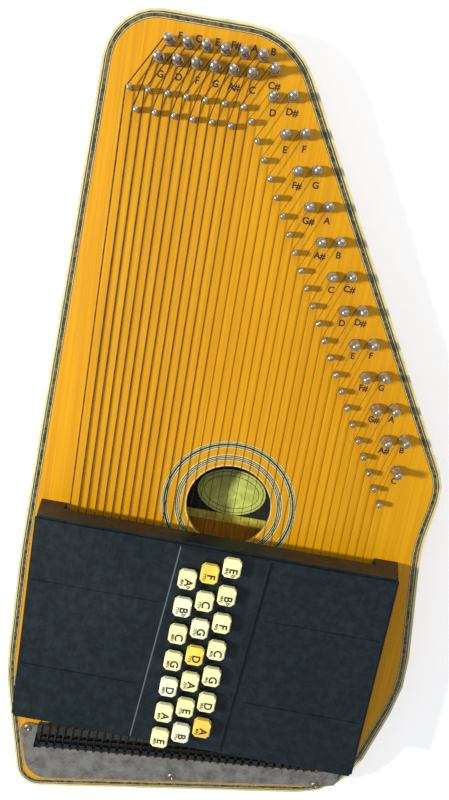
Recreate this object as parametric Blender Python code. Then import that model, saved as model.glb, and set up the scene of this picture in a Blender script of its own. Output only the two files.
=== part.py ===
"""A chorded zither with 36 strings and 21 chord bars, lying on its back.

Metres, +Z up. +X runs across the strings to the treble side and +Y along them to the
tuning pins. The object "zither" is the frame that everything hangs on. It centres the
case over the origin, and the feet stand on z = 0.
"""

import math

import bmesh
import bpy
from mathutils import Vector

# What touches keeps this gap
SEAT_GAP = 0.0003

# The case, from the table up
FOOT_HEIGHT = 0.0040
FOOT_RADIUS = 0.0080
BACK_THICKNESS = 0.0030
RIM_HEIGHT = 0.0280
RAIL_WIDTH = 0.0120
SOUNDBOARD_THICKNESS = 0.0030
BINDING_WIDTH = 0.0017
BRACE_WIDTH = 0.0080
BRACE_HEIGHT = 0.0130
UPPER_BRACE_Y = 0.0600
LOWER_BRACE_Y = -0.1000

# The case outline, clockwise from the top left: the corner's x, y and radius
TOP_BASS_CORNER = (-0.1368, 0.3025, 0.037)
TOP_TREBLE_CORNER = (-0.0136, 0.3025, 0.054)
SHOULDER = (0.1505, 0.0170, 0.040)
WAIST = (0.1450, -0.0350, 0.120)
HIP = (0.1600, -0.1510, 0.130)
TAIL_TREBLE_CORNER = (0.1311, -0.2570, 0.058)
TAIL_BASS_CORNER = (-0.1332, -0.3046, 0.018)
BASS_HIP = (-0.1545, -0.2000, 0.200)
BASS_SIDE = (-0.1543, -0.0900, 0.400)
ARC_STEP = math.radians(15)

SOUND_HOLE_X = -0.0030
SOUND_HOLE_Y = -0.0277
SOUND_HOLE_RADIUS = 0.0317
SOUND_HOLE_SIDES = 32

# The strings, from the lowest at the left. Their height is above the soundboard
STRING_COUNT = 36
STRING_PITCH = 0.00635
FIRST_STRING_X = -0.1194
STRING_HEIGHT = 0.0070
WOUND_STRINGS = 13
THICKEST_WOUND_RADIUS = 0.00060
THINNEST_WOUND_RADIUS = 0.00040
THICKEST_PLAIN_RADIUS = 0.00026
THINNEST_PLAIN_RADIUS = 0.00015
STRING_SIDES = 4

# Guide pins stand to the right of their strings: two rows, then a slanting line
GUIDE_PIN_RADIUS = 0.00195
GUIDE_PIN_HEIGHT = 0.0085
GUIDE_ROW_STRINGS = 13
UPPER_GUIDE_ROW_Y = 0.2508
LOWER_GUIDE_ROW_Y = 0.2378
GUIDE_LINE_Y = 0.2425
GUIDE_LINE_STEP_Y = -0.01118

# Tuning pins: two rows, one pin between, then a slanting line of pairs
TUNING_PIN_RADIUS = 0.00250
TUNING_PIN_HEIGHT = 0.0183
TUNING_PIN_CHAMFER = 0.0010
COIL_RADIUS = 0.0034
COIL_FOOT = 0.0020
COIL_HEIGHT = 0.0040
TUNING_ROW_PITCH = 0.0123
UPPER_TUNING_ROW = (-0.0949, 0.2830)
LOWER_TUNING_ROW = (-0.0998, 0.2716)
LONE_TUNING_PIN = (-0.0246, 0.2764)
FIRST_PAIR_LEFT = (-0.0224, 0.2598)
FIRST_PAIR_RIGHT = (-0.0099, 0.2622)
PAIR_STEP = (0.01222, -0.02147)

# The pin block under the pins, and the tail block under the plate
PIN_BLOCK_MARGIN = 0.0120
TAIL_BLOCK_MARGIN = 0.0280

# The tail: a line of ball ends that slants up to the right
TAIL_LINE_Y = -0.2594
TAIL_SLOPE = 0.104
BALL_RADIUS = 0.0019
BALL_HEIGHT = 0.0032
COMB_OFFSET = 0.0025
COMB_THICKNESS = 0.0030
COMB_HEIGHT = 0.0074
COMB_SLOT_WIDTH = 0.0024
COMB_SLOT_FLOOR = 0.0030
SADDLE_WIDTH = 0.0050
SADDLE_HEIGHT = 0.0036
ROD_RADIUS = 0.0015
COMB_MARGIN = 0.0030
FELT_OFFSET = 0.0125
FELT_WIDTH = 0.0065
FELT_HEIGHT = 0.0058
PLATE_THICKNESS = 0.0020
PLATE_EDGE_OFFSET = -0.0022
PLATE_TAB_WIDTH = 0.0042
PLATE_TAB_DEPTH = 0.0012
PLATE_INSET = 0.0090
PLATE_ARM_WIDTH = 0.0160
PLATE_END_LENGTH = 0.0180
PLATE_SMALL_CORNER = 0.0010
PLATE_CORNER = 0.0070
PLATE_TAIL_CORNER = 0.0180
PLATE_END_CORNER = 0.0040
PLATE_ARM_LENGTH = 0.0212

# The chord bars, from the one nearest the pins, in the order of their buttons
BAR_COUNT = 21
BAR_PITCH = 0.00734
FIRST_BAR_Y = -0.0565
BAR_LEFT = -0.1345
BAR_RIGHT = 0.1225
BAR_THICKNESS = 0.0052
BAR_BOTTOM = 0.0165
BAR_STANDS_OUT = 0.0005
BAR_TONGUE_LENGTH = 0.0110
BAR_TONGUE_RISE = 0.0030
DAMPER_DROP = 0.0050
DAMPER_NOTCH = 0.0044
BAR_TRAVEL = 0.0030

BUTTON_WIDTH = 0.0128
BUTTON_LENGTH = 0.0136
BUTTON_THICKNESS = 0.0055
BUTTON_CORNER = 0.0024
BUTTON_EDGE = 0.0007
BUTTON_FACET_DROP = 0.0020
BUTTON_FACET_LENGTH = 0.0036
BUTTON_STEM_INSET = 0.0042
TREBLE_COLUMN_X = 0.0066
COLUMN_PITCH = 0.0149

# The moulded base that holds the bars, and the cover on it
BASE_FOOT_LEFT = -0.1425
BASE_FOOT_RIGHT = 0.1302
BASE_LEAN = 0.0042
BASE_FRONT_Y = -0.0478
BASE_REAR_Y = -0.2148
BASE_HEIGHT = 0.0280
BASE_RAIL = 0.0045
BASE_RAIL_BOTTOM = 0.0120
BASE_WINDOW_LEFT = -0.1230
BASE_WINDOW_RIGHT = 0.1120
BAR_SLOT_CLEARANCE = 0.0005
COVER_HEIGHT = 0.0052
COVER_WALL = 0.0022
COVER_OVERHANG = 0.0004
COVER_EDGE = 0.0020
PLATEAU_RISE = 0.0022
PLATEAU_SLOPE = 0.0014
PLATEAU_LEFT_FRONT = -0.0345
PLATEAU_LEFT_REAR = -0.0490
PLATEAU_RIGHT_FRONT = 0.0370
PLATEAU_RIGHT_REAR = 0.0262
STEM_CLEARANCE = 0.0006
GROOVE_WIDTH = 0.0012
GROOVE_DEPTH = 0.0005
FRONT_GROOVE_Y = -0.0970
REAR_GROOVE_Y = -0.1665

# Notes as semitones above C. Low strings skip notes, and from D upwards none is left out
LOW_NOTES = [5, 7, 0, 2, 4, 5, 6, 7, 9, 10, 11, 0, 1]
MAJOR = (0, 4, 7)
MINOR = (0, 3, 7)
SEVENTH = (0, 4, 7, 10)
CHORDS = [
    ("Eb", 3, MAJOR), ("F7", 5, SEVENTH), ("Ab", 8, MAJOR),
    ("Bb", 10, MAJOR), ("C7", 0, SEVENTH), ("Bb7", 10, SEVENTH),
    ("F", 5, MAJOR), ("G7", 7, SEVENTH), ("Cm", 0, MINOR),
    ("C", 0, MAJOR), ("D7", 2, SEVENTH), ("Gm", 7, MINOR),
    ("G", 7, MAJOR), ("A7", 9, SEVENTH), ("Dm", 2, MINOR),
    ("D", 2, MAJOR), ("E7", 4, SEVENTH), ("Am", 9, MINOR),
    ("A", 9, MAJOR), ("B7", 11, SEVENTH), ("Em", 4, MINOR),
]

# Heights that follow
BACK_TOP = FOOT_HEIGHT + BACK_THICKNESS
RIM_TOP = BACK_TOP + RIM_HEIGHT
BOARD_TOP = RIM_TOP + SOUNDBOARD_THICKNESS
BAR_TOP = BASE_HEIGHT + BAR_STANDS_OUT
COVER_SKIRT_BOTTOM = BOARD_TOP + BASE_HEIGHT + SEAT_GAP
COVER_TOP_Z = BOARD_TOP + BASE_HEIGHT + COVER_HEIGHT
PLATEAU_TOP_Z = COVER_TOP_Z + PLATEAU_RISE
BUTTON_BOTTOM = PLATEAU_TOP_Z + BAR_TRAVEL + SEAT_GAP
BUTTON_TOP = BUTTON_BOTTOM + BUTTON_THICKNESS


def clear_scene():
    for old in list(bpy.data.objects):
        bpy.data.objects.remove(old, do_unlink=True)


def finish_of(name, colour, roughness, metallic=0.0):
    made = bpy.data.materials.new(name)
    made.use_nodes = True
    shader = made.node_tree.nodes["Principled BSDF"]
    shader.inputs["Base Color"].default_value = (*colour, 1.0)
    shader.inputs["Roughness"].default_value = roughness
    shader.inputs["Metallic"].default_value = metallic
    return made


def make_object(name, shape, finish=None, smooth=False):
    """Turns a bmesh into an object on the zither's frame."""
    bmesh.ops.recalc_face_normals(shape, faces=shape.faces)
    mesh = bpy.data.meshes.new(name)
    shape.to_mesh(mesh)
    shape.free()
    if smooth:
        mesh.shade_smooth()
        mesh.set_sharp_from_angle(angle=math.radians(40))
    made = bpy.data.objects.new(name, mesh)
    bpy.context.collection.objects.link(made)
    made.parent = bpy.data.objects["zither"]
    if finish:
        mesh.materials.append(finish)
    return made


def make_guide(name, shape):
    """A cutter, or bodies to be joined on, which isn't a piece itself."""
    made = make_object(name, shape)
    made.hide_render = True
    made.display_type = "WIRE"
    return made


def combine(target, guide, operation):
    modifier = target.modifiers.new(f"{operation.lower()} {guide.name}", "BOOLEAN")
    modifier.operation = operation
    modifier.solver = "EXACT"
    modifier.object = guide
    guide.hide_set(True)


def add_prism(shape, points, bottom, top):
    """Adds an upright prism over a plan outline, and gives its new vertices."""
    low = [shape.verts.new((x, y, bottom)) for x, y in points]
    face = shape.faces.new(low)
    grown = bmesh.ops.extrude_face_region(shape, geom=[face])
    high = [item for item in grown["geom"] if isinstance(item, bmesh.types.BMVert)]
    bmesh.ops.translate(shape, verts=high, vec=(0, 0, top - bottom))
    return low + high


def prism(points, bottom, top):
    shape = bmesh.new()
    add_prism(shape, points, bottom, top)
    return shape


def rectangle(left, right, front, rear):
    return [(left, rear), (right, rear), (right, front), (left, front)]


def add_box(shape, left, right, front, rear, bottom, top):
    return add_prism(shape, rectangle(left, right, front, rear), bottom, top)


def add_turned(shape, centre, profile, sides):
    """Adds a closed turned body about an upright axis, from (radius, height) pairs."""
    rings = []
    for radius, height in profile:
        ring = []
        for side in range(sides):
            angle = 2 * math.pi * (side + 0.5) / sides
            offset = Vector((radius * math.cos(angle), radius * math.sin(angle), height))
            ring.append(shape.verts.new(Vector(centre) + offset))
        rings.append(ring)
    for low, high in zip(rings, rings[1:]):
        for side in range(sides):
            after = (side + 1) % sides
            shape.faces.new((low[side], low[after], high[after], high[side]))
    shape.faces.new(rings[0][::-1])
    shape.faces.new(rings[-1])


def add_tube(shape, points, radius, sides):
    """Adds a closed tube along points that all lie ahead of each other in y."""
    rings = []
    for place in points:
        ring = []
        for side in range(sides):
            angle = 2 * math.pi * (side + 0.5) / sides
            offset = Vector((radius * math.cos(angle), 0, radius * math.sin(angle)))
            ring.append(shape.verts.new(Vector(place) + offset))
        rings.append(ring)
    for near, far in zip(rings, rings[1:]):
        for side in range(sides):
            after = (side + 1) % sides
            shape.faces.new((near[side], near[after], far[after], far[side]))
    shape.faces.new(rings[0][::-1])
    shape.faces.new(rings[-1])


# The case

def case_corners(inset):
    """The outline's corners moved inwards: each edge shifts by the inset."""
    corners = [
        TOP_BASS_CORNER, TOP_TREBLE_CORNER, SHOULDER, WAIST, HIP,
        TAIL_TREBLE_CORNER, TAIL_BASS_CORNER, BASS_HIP, BASS_SIDE,
    ]
    moved = []
    for index, (x, y, radius) in enumerate(corners):
        here = Vector((x, y))
        before = (here - Vector(corners[index - 1][:2])).normalized()
        after = (Vector(corners[(index + 1) % len(corners)][:2]) - here).normalized()
        turn = before.cross(after)
        # The outline runs clockwise, so inwards is to the right of each edge
        inwards = Vector((before.y, -before.x)) + Vector((after.y, -after.x))
        reach = inset / (inwards.length_squared / 2)
        rounder = radius - inset if turn < 0 else radius + inset
        moved.append((here + inwards * reach, rounder))
    return moved


def rounded_outline(corners):
    """Plan points of a polygon whose corners are arcs that meet its edges tangentially."""
    points = []
    for index, (here, radius) in enumerate(corners):
        before = (here - corners[index - 1][0]).normalized()
        after = (corners[(index + 1) % len(corners)][0] - here).normalized()
        turn = math.atan2(before.cross(after), before.dot(after))
        start = here - before * (radius * math.tan(abs(turn) / 2))
        centre = start + Vector((-before.y, before.x)) * math.copysign(radius, turn)
        steps = max(2, round(abs(turn) / ARC_STEP)) if radius else 0
        for step in range(steps + 1):
            angle = turn * step / max(steps, 1)
            arm = start - centre
            turned = Vector((
                arm.x * math.cos(angle) - arm.y * math.sin(angle),
                arm.x * math.sin(angle) + arm.y * math.cos(angle),
            ))
            points.append(tuple(centre + turned))
    return points


def case_outline(inset=0.0):
    return rounded_outline(case_corners(inset))


def tail_y(x):
    """The slanting line of the ball ends."""
    return TAIL_LINE_Y + TAIL_SLOPE * (x - FIRST_STRING_X)


def string_x(number):
    return FIRST_STRING_X + STRING_PITCH * number


def wire_radius(number):
    """Wound strings and plain ones each get thinner evenly towards the treble."""
    if number < WOUND_STRINGS:
        share = number / (WOUND_STRINGS - 1)
        return THICKEST_WOUND_RADIUS + (THINNEST_WOUND_RADIUS - THICKEST_WOUND_RADIUS) * share
    share = (number - WOUND_STRINGS) / (STRING_COUNT - 1 - WOUND_STRINGS)
    return THICKEST_PLAIN_RADIUS + (THINNEST_PLAIN_RADIUS - THICKEST_PLAIN_RADIUS) * share


def guide_pin_place(number):
    x = string_x(number) + THICKEST_WOUND_RADIUS + SEAT_GAP + GUIDE_PIN_RADIUS
    if number < GUIDE_ROW_STRINGS:
        return x, LOWER_GUIDE_ROW_Y if number % 2 else UPPER_GUIDE_ROW_Y
    return x, GUIDE_LINE_Y + GUIDE_LINE_STEP_Y * (number - GUIDE_ROW_STRINGS)


def tuning_pin_place(number):
    if number == GUIDE_ROW_STRINGS - 1:
        return LONE_TUNING_PIN
    if number < GUIDE_ROW_STRINGS:
        row = LOWER_TUNING_ROW if number % 2 else UPPER_TUNING_ROW
        return row[0] + TUNING_ROW_PITCH * (number // 2), row[1]
    pair, right = divmod(number - GUIDE_ROW_STRINGS, 2)
    first = FIRST_PAIR_RIGHT if right else FIRST_PAIR_LEFT
    return first[0] + PAIR_STEP[0] * pair, first[1] + PAIR_STEP[1] * pair


def pin_block_edge():
    """The block's inner edge: level under the rows, then along the slanting pins."""
    row_y = LOWER_GUIDE_ROW_Y - GUIDE_PIN_RADIUS - PIN_BLOCK_MARGIN
    first = Vector(guide_pin_place(GUIDE_ROW_STRINGS))
    last = Vector(guide_pin_place(STRING_COUNT - 1))
    along = (last - first).normalized()
    inwards = Vector((along.y, -along.x))
    start = first + inwards * (GUIDE_PIN_RADIUS + PIN_BLOCK_MARGIN)
    bend = start + along * ((row_y - start.y) / along.y)
    end = last + inwards * (GUIDE_PIN_RADIUS + PIN_BLOCK_MARGIN) + along * PIN_BLOCK_MARGIN
    return bend, end


def region(name, points):
    """A tall guide over a plan area, which keeps only what lies in it."""
    return make_guide(name, prism(points, BACK_TOP - RIM_HEIGHT, RIM_TOP + RIM_HEIGHT))


def rim_bottom_top():
    return BACK_TOP + SEAT_GAP, RIM_TOP - SEAT_GAP


def case_span():
    """The outline's far sides, and its middle."""
    points = case_outline()
    across = [x for x, y in points]
    along = [y for x, y in points]
    return min(across), max(across), min(along), max(along)


def make_frame():
    left, right, rear, front = case_span()
    frame = bpy.data.objects.new("zither", None)
    bpy.context.collection.objects.link(frame)
    frame.location = (-(left + right) / 2, -(rear + front) / 2, 0)


def make_back(finish):
    make_object("back_panel", prism(case_outline(), FOOT_HEIGHT, BACK_TOP), finish)


def make_feet(finish):
    inset = RAIL_WIDTH + FOOT_RADIUS
    corners = case_corners(inset)
    tail_bass = corners[6][0] + Vector((0.0, FOOT_RADIUS))
    tail_treble = corners[5][0] + Vector((-FOOT_RADIUS, FOOT_RADIUS))
    top = (corners[0][0] + corners[1][0]) / 2
    places = {"tail_bass": tail_bass, "tail_treble": tail_treble, "pin_end": top}
    edge = FOOT_HEIGHT / 4
    for where, place in places.items():
        shape = bmesh.new()
        profile = [
            (FOOT_RADIUS - edge, 0),
            (FOOT_RADIUS, edge),
            (FOOT_RADIUS, FOOT_HEIGHT - SEAT_GAP),
        ]
        add_turned(shape, (place.x, place.y, 0), profile, 16)
        make_object(f"foot_{where}", shape, finish, smooth=True)


def make_rim(wood, block_wood):
    """Pin block, tail block and the two side rails, which make one frame."""
    bottom, top = rim_bottom_top()
    left, right, rear, front = case_span()
    far = RIM_HEIGHT
    bend, end = pin_block_edge()
    half = SEAT_GAP / 2

    block = make_object("pin_block", prism(case_outline(), bottom, top), block_wood)
    area = [
        (left - far, bend.y + half), (bend.x + half, bend.y + half),
        (end.x + half, end.y + half), (right + far, end.y + half),
        (right + far, front + far), (left - far, front + far),
    ]
    combine(block, region("pin_block_area", area), "INTERSECT")

    def tail_edge(x):
        return tail_y(x) + TAIL_BLOCK_MARGIN

    tail = make_object("tail_block", prism(case_outline(), bottom, top), block_wood)
    area = [
        (left - far, rear - far), (right + far, rear - far),
        (right + far, tail_edge(right + far) - half), (left - far, tail_edge(left - far) - half),
    ]
    combine(tail, region("tail_block_area", area), "INTERSECT")

    inner = region("chamber_area", case_outline(RAIL_WIDTH))
    middle = (left + right) / 2
    for name, side, upper in (("bass_rail", left - far, bend.y), ("treble_rail", right + far, end.y)):
        rail = make_object(name, prism(case_outline(), bottom, top), wood)
        area = [
            (side, tail_edge(side) + half), (middle, tail_edge(middle) + half),
            (middle, upper - half), (side, upper - half),
        ]
        combine(rail, inner, "DIFFERENCE")
        combine(rail, region(f"{name}_area", area), "INTERSECT")


def make_braces(finish):
    """Two bars glued across the underside of the soundboard, thinner at their ends."""
    top = RIM_TOP - SEAT_GAP
    bend, end = pin_block_edge()
    inner = case_corners(RAIL_WIDTH + SEAT_GAP)
    bass_low, bass_high = inner[8][0], inner[0][0]
    waist, hip = inner[3][0], inner[4][0]

    def at_height(first, second, y):
        share = (y - first.y) / (second.y - first.y)
        return first.x + (second.x - first.x) * share

    spans = {
        "upper_brace": (UPPER_BRACE_Y, at_height(bend, end, UPPER_BRACE_Y + BRACE_WIDTH / 2)),
        "lower_brace": (LOWER_BRACE_Y, at_height(waist, hip, LOWER_BRACE_Y + BRACE_WIDTH / 2)),
    }
    for name, (y, right) in spans.items():
        left = max(bass_low.x, at_height(bass_low, bass_high, y + BRACE_WIDTH / 2))
        right -= 2 * SEAT_GAP
        taper = BRACE_HEIGHT * 1.5
        side = [
            (left, top), (left, top - BRACE_HEIGHT / 2), (left + taper, top - BRACE_HEIGHT),
            (right - taper, top - BRACE_HEIGHT), (right, top - BRACE_HEIGHT / 2), (right, top),
        ]
        make_object(name, side_prism(side, y, BRACE_WIDTH), finish)


def make_soundboard(finish):
    """The board with its sound hole. The pins driven through it are one piece with it."""
    points = case_outline(BINDING_WIDTH + SEAT_GAP)
    board = make_object("soundboard", prism(points, RIM_TOP, BOARD_TOP), finish, smooth=True)
    hole = bmesh.new()
    centre = (SOUND_HOLE_X, SOUND_HOLE_Y, RIM_TOP - SOUNDBOARD_THICKNESS)
    profile = [(SOUND_HOLE_RADIUS, 0), (SOUND_HOLE_RADIUS, 3 * SOUNDBOARD_THICKNESS)]
    add_turned(hole, centre, profile, SOUND_HOLE_SIDES)
    combine(board, make_guide("sound_hole", hole), "DIFFERENCE")
    pins = bmesh.new()
    for number in range(STRING_COUNT):
        add_guide_pin(pins, guide_pin_place(number))
        add_tuning_pin(pins, tuning_pin_place(number))
    combine(board, make_guide("pins", pins), "UNION")


def add_guide_pin(shape, place):
    dome = GUIDE_PIN_RADIUS / 2
    profile = [
        (GUIDE_PIN_RADIUS, -SOUNDBOARD_THICKNESS / 2),
        (GUIDE_PIN_RADIUS, GUIDE_PIN_HEIGHT - dome),
        (GUIDE_PIN_RADIUS / 2, GUIDE_PIN_HEIGHT),
    ]
    add_turned(shape, (*place, BOARD_TOP), profile, 6)


def add_tuning_pin(shape, place):
    """A round pin with the string's coil wound on it as a thicker band."""
    profile = [
        (TUNING_PIN_RADIUS, -SOUNDBOARD_THICKNESS / 2),
        (TUNING_PIN_RADIUS, COIL_FOOT),
        (COIL_RADIUS, COIL_FOOT),
        (COIL_RADIUS, COIL_FOOT + COIL_HEIGHT),
        (TUNING_PIN_RADIUS, COIL_FOOT + COIL_HEIGHT),
        (TUNING_PIN_RADIUS, TUNING_PIN_HEIGHT - TUNING_PIN_CHAMFER),
        (TUNING_PIN_RADIUS - TUNING_PIN_CHAMFER, TUNING_PIN_HEIGHT),
    ]
    add_turned(shape, (*place, BOARD_TOP), profile, 8)


def make_binding(finish):
    """The plastic strip let in round the top edge of the case."""
    ring = make_object("edge_binding", prism(case_outline(), RIM_TOP, BOARD_TOP), finish)
    inner = prism(case_outline(BINDING_WIDTH), RIM_TOP - RIM_HEIGHT, BOARD_TOP + RIM_HEIGHT)
    combine(ring, make_guide("binding_inside", inner), "DIFFERENCE")


# The tail

def tail_strip(offset, width):
    """A plan outline along the ball ends, past the first and last string."""
    left = string_x(0) - COMB_MARGIN
    right = string_x(STRING_COUNT - 1) + COMB_MARGIN
    return [
        (left, tail_y(left) + offset), (right, tail_y(right) + offset),
        (right, tail_y(right) + offset + width), (left, tail_y(left) + offset + width),
    ]


def side_prism(points, y, thickness, slope=0.0):
    """Extrudes an outline of (x, z) points along y, slanted in plan by the slope."""
    shape = bmesh.new()
    rear = [shape.verts.new((x, y - thickness / 2 + slope * x, z)) for x, z in points]
    face = shape.faces.new(rear)
    grown = bmesh.ops.extrude_face_region(shape, geom=[face])
    front = [item for item in grown["geom"] if isinstance(item, bmesh.types.BMVert)]
    bmesh.ops.translate(shape, verts=front, vec=(0, thickness, 0))
    return shape


def make_bridge(finish):
    """A slotted comb that holds the ball ends, with a saddle for the rod in front."""
    left = string_x(0) - COMB_MARGIN
    right = string_x(STRING_COUNT - 1) + COMB_MARGIN
    bottom = BOARD_TOP + SEAT_GAP
    top = BOARD_TOP + COMB_HEIGHT
    floor = BOARD_TOP + COMB_SLOT_FLOOR
    points = [(left, bottom), (left, top)]
    for number in range(STRING_COUNT):
        x = string_x(number)
        slot_left, slot_right = x - COMB_SLOT_WIDTH / 2, x + COMB_SLOT_WIDTH / 2
        points += [(slot_left, top), (slot_left, floor), (slot_right, floor), (slot_right, top)]
    points += [(right, top), (right, bottom)]
    middle = tail_y(0) + COMB_OFFSET + COMB_THICKNESS / 2
    comb = make_object(
        "bridge", side_prism(points, middle, COMB_THICKNESS, TAIL_SLOPE), finish
    )
    # The saddle starts inside the comb, under its slots
    overlap = COMB_THICKNESS / 2
    saddle = tail_strip(COMB_OFFSET + overlap, overlap + SADDLE_WIDTH)
    height = min(SADDLE_HEIGHT, COMB_HEIGHT)
    body = make_guide("bridge_saddle", prism(saddle, bottom, BOARD_TOP + height))
    combine(comb, body, "UNION")


def rod_offset():
    return COMB_OFFSET + COMB_THICKNESS + SADDLE_WIDTH / 2


def rod_height():
    return SADDLE_HEIGHT + SEAT_GAP + ROD_RADIUS


def string_route(number):
    """From the ball end through its slot, over the rod, past the guide pin to the coil."""
    x = string_x(number)
    radius = wire_radius(number)
    over_rod = rod_height() + ROD_RADIUS + radius / 2
    guide = Vector((x, guide_pin_place(number)[1]))
    pin = Vector(tuning_pin_place(number))
    towards = (pin - guide).normalized()
    left_side = Vector((-towards.y, towards.x))
    # The string runs past the coil's left side, where the coil takes it up
    end = pin + left_side * (COIL_RADIUS + radius + SEAT_GAP)
    coil = COIL_FOOT + COIL_HEIGHT / 2
    return [
        (x, tail_y(x), BOARD_TOP + BALL_HEIGHT),
        (x, tail_y(x) + rod_offset(), BOARD_TOP + over_rod),
        (x, guide.y, BOARD_TOP + STRING_HEIGHT - ROD_RADIUS),
        (end.x, end.y, BOARD_TOP + coil),
    ]


def make_strings(finish):
    """All the strings, one piece with the rod that carries them."""
    rod = bmesh.new()
    left = string_x(0) - COMB_MARGIN / 2
    right = string_x(STRING_COUNT - 1) + COMB_MARGIN / 2
    height = BOARD_TOP + rod_height()
    add_rod(rod, left, right, rod_offset(), height)
    rod_object = make_object("strings", rod, finish)
    wires = bmesh.new()
    for number in range(STRING_COUNT):
        route = string_route(number)
        add_tube(wires, route, wire_radius(number), STRING_SIDES)
    combine(rod_object, make_guide("wires", wires), "UNION")
    balls = bmesh.new()
    for number in range(STRING_COUNT):
        add_ball_end(balls, string_x(number))
    combine(rod_object, make_guide("ball_ends", balls), "UNION")


def add_rod(shape, left, right, offset, height):
    """A round bar along the tail line."""
    sides = 8
    rings = []
    for x in (left, right):
        ring = []
        for side in range(sides):
            angle = 2 * math.pi * (side + 0.5) / sides
            y = tail_y(x) + offset + ROD_RADIUS * math.cos(angle)
            ring.append(shape.verts.new((x, y, height + ROD_RADIUS * math.sin(angle))))
        rings.append(ring)
    for side in range(sides):
        after = (side + 1) % sides
        shape.faces.new((rings[0][side], rings[0][after], rings[1][after], rings[1][side]))
    shape.faces.new(rings[0][::-1])
    shape.faces.new(rings[1])


def add_ball_end(shape, x):
    """A small drum that lies across its string, behind the comb."""
    sides = 6
    half = COMB_SLOT_WIDTH * 0.7
    y = tail_y(x) + COMB_OFFSET - SEAT_GAP - BALL_RADIUS - TAIL_SLOPE * half
    ends = []
    for place in (x - half, x + half):
        ring = []
        for side in range(sides):
            angle = 2 * math.pi * side / sides
            centre = (place, y, BOARD_TOP + BALL_HEIGHT)
            offset = (0, BALL_RADIUS * math.cos(angle), BALL_RADIUS * math.sin(angle))
            ring.append(shape.verts.new(Vector(centre) + Vector(offset)))
        ends.append(ring)
    for side in range(sides):
        after = (side + 1) % sides
        shape.faces.new((ends[0][side], ends[0][after], ends[1][after], ends[1][side]))
    shape.faces.new(ends[0][::-1])
    shape.faces.new(ends[1])


def make_tail_felt(finish):
    strip = tail_strip(FELT_OFFSET, FELT_WIDTH)
    make_object("tail_felt", prism(strip, BOARD_TOP + SEAT_GAP, BOARD_TOP + FELT_HEIGHT), finish)


def plate_outline():
    """The plate's plan: a toothed edge along the ball ends, an arm up the bass side."""
    left = string_x(0) - COMB_MARGIN - SEAT_GAP
    right = string_x(STRING_COUNT - 1) + COMB_MARGIN
    low = COMB_OFFSET - SEAT_GAP - 2 * BALL_RADIUS - TAIL_SLOPE * COMB_SLOT_WIDTH + PLATE_EDGE_OFFSET
    teeth = []
    for gap in range(STRING_COUNT - 1, -1, -1):
        x = string_x(gap) - STRING_PITCH / 2
        for side, depth in ((1, 0), (1, 1), (-1, 1), (-1, 0)):
            at = x + side * PLATE_TAB_WIDTH / 2
            teeth.append((Vector((at, tail_y(at) + low + depth * PLATE_TAB_DEPTH)), 0))
    inner = case_corners(PLATE_INSET)
    tail_bass, tail_treble = inner[6], inner[5]
    arm_top = tail_y(left) + low + PLATE_ARM_LENGTH
    bass_edge = left - PLATE_ARM_WIDTH
    end = Vector((right + PLATE_END_LENGTH, tail_y(right + PLATE_END_LENGTH)))
    arm = [
        (Vector((left, tail_y(left) + low)), 0),
        (Vector((left, arm_top)), PLATE_SMALL_CORNER),
        (Vector((bass_edge, arm_top)), PLATE_CORNER),
        (tail_bass[0], PLATE_TAIL_CORNER),
        (tail_treble[0], PLATE_END_CORNER),
        (end, PLATE_END_CORNER),
        (Vector((right, tail_y(right) + low)), 0),
    ]
    return rounded_outline(arm + teeth)


def make_plate(finish):
    bottom = BOARD_TOP + SEAT_GAP
    make_object("anchor_plate", prism(plate_outline(), bottom, bottom + PLATE_THICKNESS), finish)


# The chord bars

def string_note(number):
    if number < len(LOW_NOTES):
        return LOW_NOTES[number]
    return (LOW_NOTES[-1] + 1 + number - len(LOW_NOTES)) % 12


def open_runs(root, intervals):
    """Runs of neighbouring strings that a chord leaves free, as first and last."""
    notes = {(root + interval) % 12 for interval in intervals}
    runs = []
    for number in range(STRING_COUNT):
        if string_note(number) not in notes:
            continue
        if runs and runs[-1][1] == number - 1:
            runs[-1][1] = number
        else:
            runs.append([number, number])
    return runs


def bar_side(root, intervals):
    """A bar's side view: a tongue at each end, and dampers with a notch for each free string."""
    damper_left = string_x(0) - STRING_PITCH / 2
    damper_right = string_x(STRING_COUNT - 1) + STRING_PITCH / 2
    low = BAR_BOTTOM - DAMPER_DROP
    tongue = BAR_BOTTOM + BAR_TONGUE_RISE
    points = [
        (BAR_LEFT, BAR_TOP), (BAR_LEFT, tongue),
        (BAR_LEFT + BAR_TONGUE_LENGTH, tongue), (BAR_LEFT + BAR_TONGUE_LENGTH, BAR_BOTTOM),
    ]
    runs = open_runs(root, intervals)
    ends = [damper_left]
    for first, last in runs:
        ends += [string_x(first) - DAMPER_NOTCH / 2, string_x(last) + DAMPER_NOTCH / 2]
    ends.append(damper_right)
    for start, stop in zip(ends[::2], ends[1::2]):
        points += [(start, BAR_BOTTOM), (start, low), (stop, low), (stop, BAR_BOTTOM)]
    points += [
        (BAR_RIGHT - BAR_TONGUE_LENGTH, BAR_BOTTOM), (BAR_RIGHT - BAR_TONGUE_LENGTH, tongue),
        (BAR_RIGHT, tongue), (BAR_RIGHT, BAR_TOP),
    ]
    return points


def bar_y(index):
    return FIRST_BAR_Y - BAR_PITCH * index


def button_x(index):
    return TREBLE_COLUMN_X - COLUMN_PITCH * (index % 3)


def make_bar(index, chord, finish):
    name, root, intervals = chord
    shape = side_prism(bar_side(root, intervals), 0, BAR_THICKNESS)
    bar = make_object(f"chord_bar_{name}", shape, finish)
    bar.location = (0, bar_y(index), BOARD_TOP)
    return bar


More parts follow.
